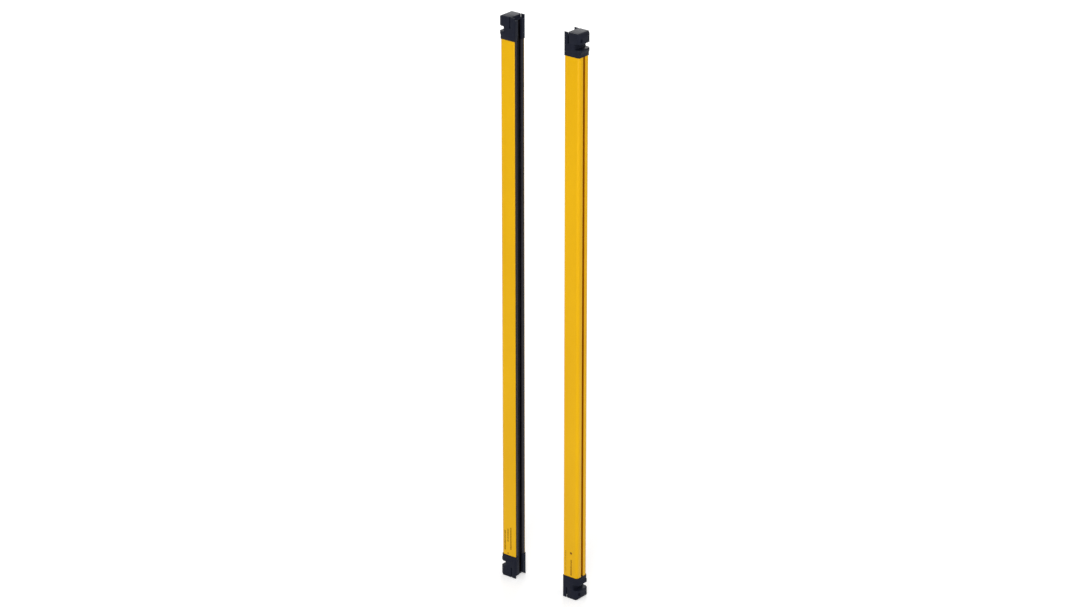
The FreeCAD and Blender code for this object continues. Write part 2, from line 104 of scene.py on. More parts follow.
class Side(Enum):
    """The two bars of the set, with the X direction in which each one's window looks."""

    EMITTER = ("emitter", 1.0)
    RECEIVER = ("receiver", -1.0)

    @property
    def label(self) -> str:
        """Prefix of the bar's node names."""
        return self.value[0]

    @property
    def facing(self) -> float:
        """Sign of X towards the other bar."""
        return self.value[1]


# ---- Node trees --------------------------------------------------------------


def linear(red: int, green: int, blue: int) -> Colour:
    """Turns display values of 0 to 255 into linear colour.

    Args:
        red: Display value of red.
        green: Display value of green.
        blue: Display value of blue.

    Returns:
        The three linear values.
    """
    shares = [value / 255 for value in (red, green, blue)]
    return tuple(s / 12.92 if s <= 0.04045 else ((s + 0.055) / 1.055) ** 2.4 for s in shares)


class NodeGraph:
    """Short calls that add, fill and join the nodes of one tree."""

    def __init__(self, tree: NodeTree) -> None:
        """Empties the tree and keeps it.

        Args:
            tree: The tree of a material, a world or a node group.
        """
        tree.nodes.clear()
        self.tree = tree

    def add(self, kind: str, inputs: dict[str, object] | None = None, **settings: object) -> Node:
        """Adds one node.

        Args:
            kind: Blender's name of the node type.
            inputs: Values of its sockets, or sockets to join to them, by socket name.
            **settings: The node's own settings.

        Returns:
            The new node.
        """
        node = self.tree.nodes.new(kind)
        for name, value in settings.items():
            setattr(node, name, value)
        for name, value in (inputs or {}).items():
            if isinstance(value, NodeSocket):
                self.tree.links.new(value, node.inputs[name])
            else:
                node.inputs[name].default_value = value
        return node

    def join(self, source: NodeSocket, target: NodeSocket) -> None:
        """Joins two sockets."""
        self.tree.links.new(source, target)

    def math(self, operation: str, first: object, second: object = 0.0) -> NodeSocket:
        """Adds a Math node.

        Args:
            operation: Name of the operation.
            first: A number or a socket.
            second: A number or a socket.

        Returns:
            The node's value.
        """
        node = self.add("ShaderNodeMath", operation=operation)
        for index, value in enumerate((first, second)):
            if isinstance(value, NodeSocket):
                self.join(value, node.inputs[index])
            else:
                node.inputs[index].default_value = value
        return node.outputs[0]


class SurfaceGraph(NodeGraph):
    """Node tree of one material: a Principled surface with patterns on Object coordinates."""

    def __init__(self, name: str) -> None:
        """Makes the material with its Principled surface.

        Args:
            name: The material's name.
        """
        self.material = bpy.data.materials.new(name)
        self.material.use_nodes = True
        super().__init__(self.material.node_tree)
        self.surface = self.add("ShaderNodeBsdfPrincipled")
        output = self.add("ShaderNodeOutputMaterial")
        self.join(self.surface.outputs["BSDF"], output.inputs["Surface"])
        self.place = self.add("ShaderNodeTexCoord").outputs["Object"]

    def fill(self, **values: object) -> None:
        """Sets plain numbers on the Principled surface, with underscores for spaces."""
        for name, value in values.items():
            self.surface.inputs[name.replace("_", " ")].default_value = value

    def stretched(self, scale: Triple) -> NodeSocket:
        """Object coordinates multiplied along each axis.

        Args:
            scale: Factor along X, Y and Z.

        Returns:
            The scaled coordinates.
        """
        inputs = {"Vector": self.place, "Scale": scale}
        return self.add("ShaderNodeMapping", inputs).outputs["Vector"]

    def noise(self, scale: Triple, detail: float = 2.0) -> NodeSocket:
        """Noise with its own scale along each axis.

        Args:
            scale: Grains to the metre along X, Y and Z.
            detail: Number of finer layers.

        Returns:
            The noise value.
        """
        inputs = {"Vector": self.stretched(scale), "Scale": 1.0, "Detail": detail}
        return self.add("ShaderNodeTexNoise", inputs).outputs["Fac"]

    def grains(self, per_metre: float, detail: float = 2.0) -> NodeSocket:
        """Noise that is as fine along every axis."""
        return self.noise((per_metre, per_metre, per_metre), detail)

    def spread(self, value: NodeSocket, low: float, high: float) -> NodeSocket:
        """Maps the middle of a noise value to a range.

        Args:
            value: Noise value.
            low: Result where the noise is weakest.
            high: Result where it is strongest.

        Returns:
            The mapped value.
        """
        inputs = {"Value": value, "From Min": 0.3, "From Max": 0.7, "To Min": low, "To Max": high}
        return self.add("ShaderNodeMapRange", inputs).outputs["Result"]

    def blend(self, share: NodeSocket, first: object, second: object) -> NodeSocket:
        """Mixes two colours.

        Args:
            share: Share of the second colour.
            first: A linear colour or a colour socket.
            second: A linear colour or a colour socket.

        Returns:
            The mixed colour.
        """
        node = self.add("ShaderNodeMix", data_type="RGBA")
        self.join(share, node.inputs["Factor"])
        for socket, value in ((node.inputs[6], first), (node.inputs[7], second)):
            if isinstance(value, NodeSocket):
                self.join(value, socket)
            else:
                socket.default_value = (*value, 1.0)
        return node.outputs[2]

    def mottle(self, pattern: NodeSocket, first: Colour, second: Colour) -> None:
        """Colours the surface with two tones that follow a noise value.

        Args:
            pattern: Noise value.
            first: Linear colour where the noise is weakest.
            second: Linear colour where it is strongest.
        """
        self.colour(self.blend(self.spread(pattern, 0.0, 1.0), first, second))

    def colour(self, source: NodeSocket) -> None:
        """Joins a colour to the surface."""
        self.join(source, self.surface.inputs["Base Color"])

    def roughness(self, source: NodeSocket) -> None:
        """Joins a roughness to the surface."""
        self.join(source, self.surface.inputs["Roughness"])

    def relief(self, height: NodeSocket, depth: float, strength: float = 1.0) -> None:
        """Adds a bump to the surface.

        Args:
            height: Height pattern from 0 to 1.
            depth: Height of the pattern in metres.
            strength: How much of it shows.
        """
        inputs = {"Height": height, "Distance": depth, "Strength": strength}
        bump = self.add("ShaderNodeBump", inputs)
        self.join(bump.outputs["Normal"], self.surface.inputs["Normal"])


# ---- Finishes ----------------------------------------------------------------


@dataclass(frozen=True)
class Finish(ABC):
    """A finish of the set, which knows how to paint its own material."""

    name: str

    def material(self) -> Material:
        """Builds the material.

        Returns:
            The material.
        """
        graph = SurfaceGraph(self.name)
        self.paint(graph)
        return graph.material

    @abstractmethod
    def paint(self, graph: SurfaceGraph) -> None:
        """Fills the material's node tree."""


@dataclass(frozen=True)
class PowderCoat(Finish):
    """Satin powder coat with a faint orange peel, with painted shade inside the profile's rear
    slot.
    """

    name: str = "yellow powder coat"
    bright: Colour = linear(242, 186, 5)
    deep: Colour = linear(236, 179, 3)
    # Painted shade: a darker brown that stands in for the shadow inside the rear slot.
    thin: Colour = linear(180, 106, 3)
    clouds_per_metre: Triple = (14.0, 14.0, 5.0)
    speckles_per_metre: float = 2600.0
    rough: Span = (0.33, 0.43)
    specular: float = 0.14
    peel_per_metre: float = 620.0
    peel_depth: float = 0.03 * MM
    peel_strength: float = 0.6
    slot_half: float = 5.4 * MM
    slot_mouth: float = 0.3 * MM
    slot_floor: float = 8.0 * MM

    def paint(self, graph: SurfaceGraph) -> None:
        """Paints the material.

        Args:
            graph: The material's tree.
        """
        clouds = graph.spread(graph.noise(self.clouds_per_metre, 3.0), 0.0, 1.0)
        coat = graph.blend(clouds, self.bright, self.deep)
        # The slot walls take the darker brown, painted shade in place of the slot's shadow.
        graph.colour(graph.blend(self.in_slot(graph), coat, self.thin))
        graph.roughness(graph.spread(graph.grains(self.speckles_per_metre, 1.0), *self.rough))
        graph.relief(graph.grains(self.peel_per_metre, 1.5), self.peel_depth, self.peel_strength)
        graph.fill(Specular_IOR_Level=self.specular)

    def in_slot(self, graph: SurfaceGraph) -> NodeSocket:
        """Finds the walls of the T-slots in the backs of the two bars, which get painted shade.

        Args:
            graph: The material's tree.

        Returns:
            One inside the slots and nothing elsewhere.
        """
        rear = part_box(f"{Side.RECEIVER.label}_housing")[1][0]
        axes = graph.add("ShaderNodeSeparateXYZ", {"Vector": graph.place}).outputs
        out = graph.math("ABSOLUTE", axes["X"])
        narrow = graph.math("LESS_THAN", graph.math("ABSOLUTE", axes["Y"]), self.slot_half)
        below = graph.math("LESS_THAN", out, rear - self.slot_mouth)
        above = graph.math("GREATER_THAN", out, rear - self.slot_floor)
        return graph.math("MULTIPLY", narrow, graph.math("MULTIPLY", below, above))


@dataclass(frozen=True)
class MouldedPlastic(Finish):
    """Glass-filled plastic with a fine spark-eroded grain."""

    base: Colour
    pale: Colour
    rough: Span = (0.44, 0.56)
    flow_per_metre: Triple = (60.0, 60.0, 25.0)
    grain_per_metre: float = 3200.0
    grain_depth: float = 0.03 * MM
    grain_strength: float = 0.8
    specular: float = 0.07

    def paint(self, graph: SurfaceGraph) -> None:
        """Paints the material.

        Args:
            graph: The material's tree.
        """
        graph.mottle(graph.noise(self.flow_per_metre, 3.0), self.base, self.pale)
        voronoi = {"Vector": graph.place, "Scale": self.grain_per_metre}
        cells = graph.add("ShaderNodeTexVoronoi", voronoi)
        fine = graph.grains(self.grain_per_metre)
        height = graph.math("MULTIPLY", cells.outputs["Distance"], fine)
        graph.roughness(graph.spread(fine, *self.rough))
        graph.relief(height, self.grain_depth, self.grain_strength)
        graph.fill(Specular_IOR_Level=self.specular)


@dataclass(frozen=True)
class ExtrudedPlastic(Finish):
    """Smooth plastic with faint draw lines along the bar."""

    base: Colour
    pale: Colour
    lines_per_metre: Triple = (1800.0, 1800.0, 3.0)
    line_depth: float = 0.02 * MM
    line_strength: float = 0.5
    rough: Span = (0.36, 0.46)
    specular: float = 0.08

    def paint(self, graph: SurfaceGraph) -> None:
        """Paints the material.

        Args:
            graph: The material's tree.
        """
        draw = graph.noise(self.lines_per_metre)
        graph.mottle(draw, self.base, self.pale)
        graph.roughness(graph.spread(draw, *self.rough))
        graph.relief(draw, self.line_depth, self.line_strength)
        graph.fill(Specular_IOR_Level=self.specular)


@dataclass(frozen=True)
class FilterWindow(Finish):
    """Polished filter plastic, dark to the eye, with painted glints where the lenses are guessed
    behind it.
    """

    name: str = "window filter"
    base: Colour = (0.0014, 0.0011, 0.0017)
    glint: Colour = (0.0036, 0.0026, 0.0040)
    glint_sharpness: float = 3.0
    lens_pitch: float = 40.0 * MM
    lens_phase: float = 35.0 * MM
    smears_per_metre: Triple = (220.0, 220.0, 12.0)
    rough: Span = (0.05, 0.11)
    specular: float = 0.03

    def paint(self, graph: SurfaceGraph) -> None:
        """Paints the material.

        Args:
            graph: The material's tree.
        """
        height = graph.add("ShaderNodeSeparateXYZ", {"Vector": graph.place}).outputs["Z"]
        above_gap = graph.math("SUBTRACT", height, self.lens_phase)
        turn = graph.math("MULTIPLY", above_gap, math.pi / self.lens_pitch)
        wave = graph.math("ABSOLUTE", graph.math("SINE", turn))
        # Painted glints: the window is lighter in bands at the lens pitch, standing in for light
        # off the lenses behind it.
        lens = graph.math("POWER", wave, self.glint_sharpness)
        graph.colour(graph.blend(lens, self.base, self.glint))
        graph.roughness(graph.spread(graph.noise(self.smears_per_metre), *self.rough))
        graph.fill(Specular_IOR_Level=self.specular)


@dataclass(frozen=True)
class Rubber(Finish):
    """Matt black seal rubber with a talc-like bloom."""

    name: str = "seal rubber"
    base: Colour = (0.010, 0.010, 0.011)
    bloom: Colour = (0.022, 0.022, 0.023)
    haze_per_metre: float = 900.0
    haze_depth: float = 0.03 * MM
    haze_strength: float = 0.6
    rough: Span = (0.72, 0.88)

    def paint(self, graph: SurfaceGraph) -> None:
        """Paints the material.

        Args:
            graph: The material's tree.
        """
        haze = graph.grains(self.haze_per_metre, 3.0)
        graph.mottle(haze, self.base, self.bloom)
        graph.roughness(graph.spread(haze, *self.rough))
        graph.relief(haze, self.haze_depth, self.haze_strength)


@dataclass(frozen=True)
class PlatedMetal(Finish):
    """Turned and plated metal with fine tool marks round its axis."""

    base: Colour
    dull: Colour
    rough: Span = (0.24, 0.36)
    marks_per_metre: Triple = (400.0, 400.0, 9000.0)
    mark_depth: float = 0.01 * MM
    mark_strength: float = 0.4

    def paint(self, graph: SurfaceGraph) -> None:
        """Paints the material.

        Args:
            graph: The material's tree.
        """
        marks = graph.noise(self.marks_per_metre)
        graph.mottle(marks, self.base, self.dull)
        graph.roughness(graph.spread(marks, *self.rough))
        graph.relief(marks, self.mark_depth, self.mark_strength)
        graph.fill(Metallic=1.0)


@dataclass(frozen=True)
class ClearPlastic(Finish):
    """Clear moulded plastic with faint flow lines."""

    name: str = "clear plastic"
    tint: Colour = (0.90, 0.92, 0.94)
    haze: Colour = (0.80, 0.83, 0.86)
    flow_per_metre: Triple = (300.0, 300.0, 40.0)
    rough: Span = (0.04, 0.10)
    clear: float = 0.85
    index: float = 1.49

    def paint(self, graph: SurfaceGraph) -> None:
        """Paints the material.

        Args:
            graph: The material's tree.
        """
        flow = graph.noise(self.flow_per_metre)
        graph.mottle(flow, self.tint, self.haze)
        graph.roughness(graph.spread(flow, *self.rough))
        graph.fill(Transmission_Weight=self.clear, IOR=self.index)


@dataclass(frozen=True)
class CircuitBoard(Finish):
    """Solder mask over copper tracks."""

    name: str = "circuit board"
    mask: Colour = (0.012, 0.085, 0.032)
    track: Colour = (0.030, 0.170, 0.062)
    tracks_per_metre: Triple = (420.0, 420.0, 52.5)
    track_gap: float = 0.09
    track_height: float = 0.03 * MM
    track_strength: float = 0.5
    grain_per_metre: float = 1500.0
    rough: Span = (0.26, 0.38)

    def paint(self, graph: SurfaceGraph) -> None:
        """Paints the material.

        Args:
            graph: The material's tree.
        """
        tracks = graph.stretched(self.tracks_per_metre)
        brick = {"Vector": tracks, "Scale": 1.0, "Mortar Size": self.track_gap}
        gaps = graph.add("ShaderNodeTexBrick", brick).outputs["Fac"]
        graph.colour(graph.blend(graph.math("SUBTRACT", 1.0, gaps), self.track, self.mask))
        graph.roughness(graph.spread(graph.grains(self.grain_per_metre), *self.rough))
        graph.relief(gaps, self.track_height, self.track_strength)


@dataclass(frozen=True)
class Resin(Finish):
    """Tinted cast resin or film, a little translucent."""

    base: Colour
    deep: Colour
    clear: float = 0.3
    index: float = 1.5
    clouds_per_metre: float = 700.0
    rough: Span = (0.15, 0.25)

    def paint(self, graph: SurfaceGraph) -> None:
        """Paints the material.

        Args:
            graph: The material's tree.
        """
        clouds = graph.grains(self.clouds_per_metre)
        graph.mottle(clouds, self.base, self.deep)
        graph.roughness(graph.spread(clouds, *self.rough))
        graph.fill(Transmission_Weight=self.clear, IOR=self.index)


@dataclass(frozen=True)
class PrintInk(Finish):
    """Screen-printed ink, a little uneven."""

    ink: Colour
    worn: Colour
    patches_per_metre: float = 1400.0
    rough: Span = (0.45, 0.6)
    specular: float = 0.12

    def paint(self, graph: SurfaceGraph) -> None:
        """Paints the material.

        Args:
            graph: The material's tree.
        """
        patches = graph.grains(self.patches_per_metre, 3.0)
        graph.mottle(patches, self.ink, self.worn)
        graph.roughness(graph.spread(patches, *self.rough))
        graph.fill(Specular_IOR_Level=self.specular)


@dataclass
class Finishes:
    """Every finish of the set, each built once."""

    ink: Material = field(init=False)
    dot_ink: Material = field(init=False)
    by_slot: dict[Slot, Material] = field(init=False)

    def __post_init__(self) -> None:
        """Builds the materials."""
        navy, navy_pale = linear(24, 27, 39), linear(30, 33, 45)
        rail, rail_pale = linear(42, 40, 46), linear(50, 48, 53)
        black, black_pale = linear(26, 26, 28), linear(34, 34, 36)
        recipes = {
            Slot.COAT: PowderCoat(),
            Slot.CAP: MouldedPlastic("cap plastic", navy, navy_pale),
            Slot.RAIL: ExtrudedPlastic("rail plastic", rail, rail_pale),
            Slot.WINDOW: FilterWindow(),
            Slot.RUBBER: Rubber(),
            Slot.CLEAR: ClearPlastic(),
            Slot.CARRIER: MouldedPlastic("carrier plastic", black, black_pale, rough=(0.6, 0.75)),
            Slot.BOARD: CircuitBoard(),
            Slot.ELEMENT: Resin(
                "element resin", (0.60, 0.45, 0.22), (0.45, 0.30, 0.12), clear=0.5
            ),
            Slot.FILM: Resin(
                "insulating film", (0.55, 0.27, 0.06), (0.42, 0.18, 0.03), clear=0.2
            ),
            Slot.CHIP: MouldedPlastic("chip plastic", black, black_pale, rough=(0.5, 0.65)),
            Slot.NICKEL: PlatedMetal("satin nickel", (0.62, 0.60, 0.56), (0.50, 0.48, 0.45)),
            Slot.INSERT: MouldedPlastic("socket plastic", black, black_pale),
            Slot.GOLD: PlatedMetal(
                "gold plating", (0.85, 0.62, 0.25), (0.74, 0.50, 0.17), rough=(0.18, 0.28)
            ),
        }
        self.by_slot = {slot: recipe.material() for slot, recipe in recipes.items()}
        self.ink = PrintInk("ochre ink", linear(132, 86, 2), linear(160, 108, 3)).material()
        self.dot_ink = PrintInk("brown ink", linear(96, 50, 4), linear(120, 66, 5)).material()

    def dress(self, piece: Object, slot: Slot) -> None:
        """Puts one finish on a piece.

        Args:
            piece: A mesh object.
            slot: The slot whose finish it takes.
        """
        piece.data.materials.clear()
        piece.data.materials.append(self.by_slot[slot])


# ---- Meshes ------------------------------------------------------------------


def add_object(name: str, mesh: Mesh) -> Object:
    """Puts a mesh into the scene as an object at the origin.

    Args:
        name: The object's name.
        mesh: Its mesh.

    Returns:
        The object.
    """
    piece = bpy.data.objects.new(name, mesh)
    bpy.context.scene.collection.objects.link(piece)
    return piece


def bake_modifiers(piece: Object) -> None:
    """Turns an object's modifiers into plain mesh and removes them.

    Args:
        piece: The object to bake.
    """
    bpy.context.view_layer.update()
    evaluated = piece.evaluated_get(bpy.context.evaluated_depsgraph_get())
    baked = bpy.data.meshes.new_from_object(evaluated)
    piece.modifiers.clear()
    piece.data = baked
    baked.name = piece.name


def smooth_but_edges(mesh: Mesh, degrees: float) -> None:
    """Shades a mesh smooth, with creases kept where faces meet at more than an angle.

    Args:
        mesh: The mesh.
        degrees: The angle.
    """
    mesh.polygons.foreach_set("use_smooth", [True] * len(mesh.polygons))
    mesh.set_sharp_from_angle(angle=math.radians(degrees))


@dataclass(frozen=True)
class SoftSkin:
    """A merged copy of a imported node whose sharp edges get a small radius."""

    radius: float
    segments: int = 2
    limit_degrees: float = 32.0
    merge_distance: float = 0.002 * MM
    flat_degrees: float = 0.6

    def make(self, node: str, name: str) -> Object:
        """Copies a node, joins its facets and rounds its edges.

        Args:
            node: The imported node.
            name: Name of the new piece.

        Returns:
            The piece, which replaces the node.
        """
        mesh = frame["nodes"][node].data.copy()
        shape = bmesh.new()
        shape.from_mesh(mesh)
        bmesh.ops.remove_doubles(shape, verts=shape.verts, dist=self.merge_distance)
        flat = math.radians(self.flat_degrees)
        bmesh.ops.dissolve_limit(shape, angle_limit=flat, verts=shape.verts, edges=shape.edges)
        shape.to_mesh(mesh)
        shape.free()
        piece = add_object(name, mesh)
        bevel = piece.modifiers.new("edge radius", "BEVEL")
        bevel.width = self.radius
        bevel.segments = self.segments
        bevel.limit_method = "ANGLE"
        bevel.angle_limit = math.radians(self.limit_degrees)
        bevel.use_clamp_overlap = True
        bake_modifiers(piece)
        smooth_but_edges(piece.data, self.limit_degrees)
        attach(piece, BODY)
        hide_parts(node)
        return piece


def meshed(name: str, shape: bmesh.types.BMesh) -> Mesh:
    """Writes a working shape into a new mesh.

    Args:
        name: The mesh's name.
        shape: The shape, which is used up.

    Returns:
        The mesh.
    """
    mesh = bpy.data.meshes.new(name)
    shape.to_mesh(mesh)
    shape.free()
    return mesh


def disc(name: str, radius: float, corners: int, place: Matrix) -> Object:
    """Adds a flat round sheet.

    Args:
        name: The sheet's name.
        radius: Its radius.
        corners: Number of corners round its edge.
        place: Where its middle goes.

    Returns:
        The sheet.
    """
    shape = bmesh.new()
    bmesh.ops.create_circle(shape, cap_ends=True, segments=corners, radius=radius, matrix=place)
    return add_object(name, meshed(name, shape))


def turned_mesh(name: str, outline: list[Span], centre: Vector, steps: int) -> Mesh:
    """Spins a closed outline round an upright axis.

    Args:
        name: The mesh's name.
        outline: Radius and height of each corner, in order round the section.
        centre: A point on the axis, added to every corner.
        steps: Number of faces round the axis.

    Returns:
        The closed mesh.
    """
    shape = bmesh.new()
    rings = []
    for index in range(steps):
        angle = math.tau * index / steps
        way = Vector((math.cos(angle), math.sin(angle), 0.0))
        corners = [centre + way * radius + Vector((0.0, 0.0, z)) for radius, z in outline]
        rings.append([shape.verts.new(corner) for corner in corners])
    count = len(outline)
    for index in range(steps):
        here, there = rings[index], rings[(index + 1) % steps]
        for corner in range(count):
            after = (corner + 1) % count
            shape.faces.new((here[corner], there[corner], there[after], here[after]))
    bmesh.ops.recalc_face_normals(shape, faces=shape.faces)
    return meshed(name, shape)


def joined(name: str, parts: list[Object]) -> Object:
    """Joins plain mesh objects into one new object.

    Args:
        name: The new object's name.
        parts: The objects, which are used up.

    Returns:
        The joined object.
    """
    shape = bmesh.new()
    for part in parts:
        shape.from_mesh(part.data)
        bpy.data.objects.remove(part)
    return add_object(name, meshed(name, shape))


# ---- Geometry Nodes ----------------------------------------------------------


class ShapeGraph(NodeGraph):
    """Geometry Nodes tree with named inputs that ends in Realize Instances and Set Material."""

    def __init__(self, name: str, inputs: dict[str, str]) -> None:
        """Makes the tree with its inputs.

        Args:
            name: The tree's name.
            inputs: Socket type of each input, by name.
        """
        tree = bpy.data.node_groups.new(name, "GeometryNodeTree")
        super().__init__(tree)
        tree.interface.new_socket("Geometry", in_out="OUTPUT", socket_type="NodeSocketGeometry")
        self.identifiers = {}
        for label, kind in {**inputs, "Material": "NodeSocketMaterial"}.items():
            socket = tree.interface.new_socket(label, in_out="INPUT", socket_type=kind)
            self.identifiers[label] = socket.identifier
        self.given = self.add("NodeGroupInput").outputs

    def end(self, geometry: NodeSocket) -> None:
        """Joins the finished geometry to the tree's output.

        Args:
            geometry: The geometry to hand out.
        """
        real = self.add("GeometryNodeRealizeInstances", {"Geometry": geometry})
        dressed = self.add(
            "GeometryNodeSetMaterial",
            {"Geometry": real.outputs["Geometry"], "Material": self.given["Material"]},
        )
        output = self.add("NodeGroupOutput")
        self.join(dressed.outputs["Geometry"], output.inputs["Geometry"])

    def make(self, name: str, values: dict[str, object], place: Matrix) -> Object:
        """Runs the tree and keeps the result as a plain mesh at its place.

        Args:
            name: Name of the new object.
            values: Value of each input, by name.
            place: Where the tree's own origin goes.

        Returns:
            The object.
        """
        piece = add_object(name, bpy.data.meshes.new(name))
        modifier = piece.modifiers.new(name, "NODES")
        modifier.node_group = self.tree
        for label, value in values.items():
            modifier[self.identifiers[label]] = value
        bake_modifiers(piece)
        piece.data.transform(place)
        return piece


def floats(*names: str) -> dict[str, str]:
    """Socket types of some number inputs."""
    return {name: "NodeSocketFloat" for name in names}


def thread_graph() -> ShapeGraph:
    """Builds the tree of a thread's ridge: a four-sided section swept along a helix.

    Returns:
        The tree.
    """
    steps_per_turn, section_corners = 36, 4
    graph = ShapeGraph("thread ridge", floats("Radius", "Turns", "Length", "Ridge"))
    helix = graph.add(
        "GeometryNodeCurveSpiral",
        {
            "Resolution": steps_per_turn,
            "Rotations": graph.given["Turns"],
            "Start Radius": graph.given["Radius"],
            "End Radius": graph.given["Radius"],
            "Height": graph.given["Length"],
        },
    )
    section = graph.add(
        "GeometryNodeCurvePrimitiveCircle",
        {"Resolution": section_corners, "Radius": graph.given["Ridge"]},
    )
    swept = graph.add(
        "GeometryNodeCurveToMesh",
        {
            "Curve": helix.outputs["Curve"],
            "Profile Curve": section.outputs["Curve"],
            "Fill Caps": True,
        },
    )
    graph.end(swept.outputs["Mesh"])
    return graph


def pin_graph() -> ShapeGraph:
    """Builds the tree of the contact pins: domed rods, one in the middle of a ring of others.

    Returns:
        The tree.
    """
    sides, tip_rings = 14, 8
    numbers = floats("Circle", "Radius", "Length")
    graph = ShapeGraph("contact pins", {"Count": "NodeSocketInt", **numbers})
    radius, length = graph.given["Radius"], graph.given["Length"]
    straight = graph.math("SUBTRACT", length, radius)
    rod_inputs = {"Vertices": sides, "Radius": radius, "Depth": straight}
    rod = graph.add("GeometryNodeMeshCylinder", rod_inputs).outputs["Mesh"]
    middle = graph.add("ShaderNodeCombineXYZ", {"Z": graph.math("MULTIPLY", straight, -0.5)})
    standing = graph.add(
        "GeometryNodeTransform", {"Geometry": rod, "Translation": middle.outputs["Vector"]}
    )
    ball_inputs = {"Segments": sides, "Rings": tip_rings, "Radius": radius}
    ball = graph.add("GeometryNodeMeshUVSphere", ball_inputs).outputs["Mesh"]
    low = graph.add("ShaderNodeCombineXYZ", {"Z": graph.math("MULTIPLY", straight, -1.0)})
    tip = graph.add(
        "GeometryNodeTransform", {"Geometry": ball, "Translation": low.outputs["Vector"]}
    )
    pin = graph.add("GeometryNodeJoinGeometry")
    graph.join(standing.outputs["Geometry"], pin.inputs["Geometry"])
    graph.join(tip.outputs["Geometry"], pin.inputs["Geometry"])
    ring_inputs = {"Vertices": graph.given["Count"], "Radius": graph.given["Circle"]}
    ring = graph.add("GeometryNodeMeshCircle", ring_inputs)
    centre = graph.add("GeometryNodePoints", {"Count": 1})
    places = graph.add("GeometryNodeJoinGeometry")
    graph.join(ring.outputs["Mesh"], places.inputs["Geometry"])
    graph.join(centre.outputs["Points"], places.inputs["Geometry"])
    copies = graph.add(
        "GeometryNodeInstanceOnPoints",
        {"Points": places.outputs["Geometry"], "Instance": pin.outputs["Geometry"]},
    )
    graph.end(copies.outputs["Instances"])
    return graph


def dash_graph() -> ShapeGraph:
    """Builds the tree of a printed column: bars of uneven length above each other.

    Returns:
        The tree, whose bars lie in the XZ plane.
    """
    numbers = floats("Pitch", "Width", "Height", "Shortest")
    graph = ShapeGraph(
        "printed column", {"Count": "NodeSocketInt", **numbers, "Seed": "NodeSocketInt"}
    )
    step = graph.add("ShaderNodeCombineXYZ", {"Z": graph.given["Pitch"]})
    line = graph.add(
        "GeometryNodeMeshLine", {"Count": graph.given["Count"], "Offset": step.outputs["Vector"]}
    )
    bar = graph.add(
        "GeometryNodeMeshGrid",
        {
            "Size X": graph.given["Width"],
            "Size Y": graph.given["Height"],
            "Vertices X": 2,
            "Vertices Y": 2,
        },
    )
    upright = graph.add(
        "GeometryNodeTransform",
        {"Geometry": bar.outputs["Mesh"], "Rotation": (math.pi / 2, 0.0, 0.0)},
    )
    length = graph.add("FunctionNodeRandomValue", data_type="FLOAT")
    lowest, highest = [socket for socket in length.inputs if socket.type == "VALUE"][:2]
    graph.join(graph.given["Shortest"], lowest)
    highest.default_value = 1.0
    graph.join(graph.given["Seed"], length.inputs["Seed"])
    value = [socket for socket in length.outputs if socket.type == "VALUE"][0]
    scale = graph.add("ShaderNodeCombineXYZ", {"X": value, "Y": 1.0, "Z": 1.0})
    copies = graph.add(
        "GeometryNodeInstanceOnPoints",
        {
            "Points": line.outputs["Mesh"],
            "Instance": upright.outputs["Geometry"],
            "Scale": scale.outputs["Vector"],
        },
    )
    graph.end(copies.outputs["Instances"])
    return graph


# ---- Sub-assemblies ----------------------------------------------------------


NODE_SLOTS: dict[str, Slot] = {
    row["node"]: Slot(row["material_slot"]) for row in frame["record"]["subparts"]
}


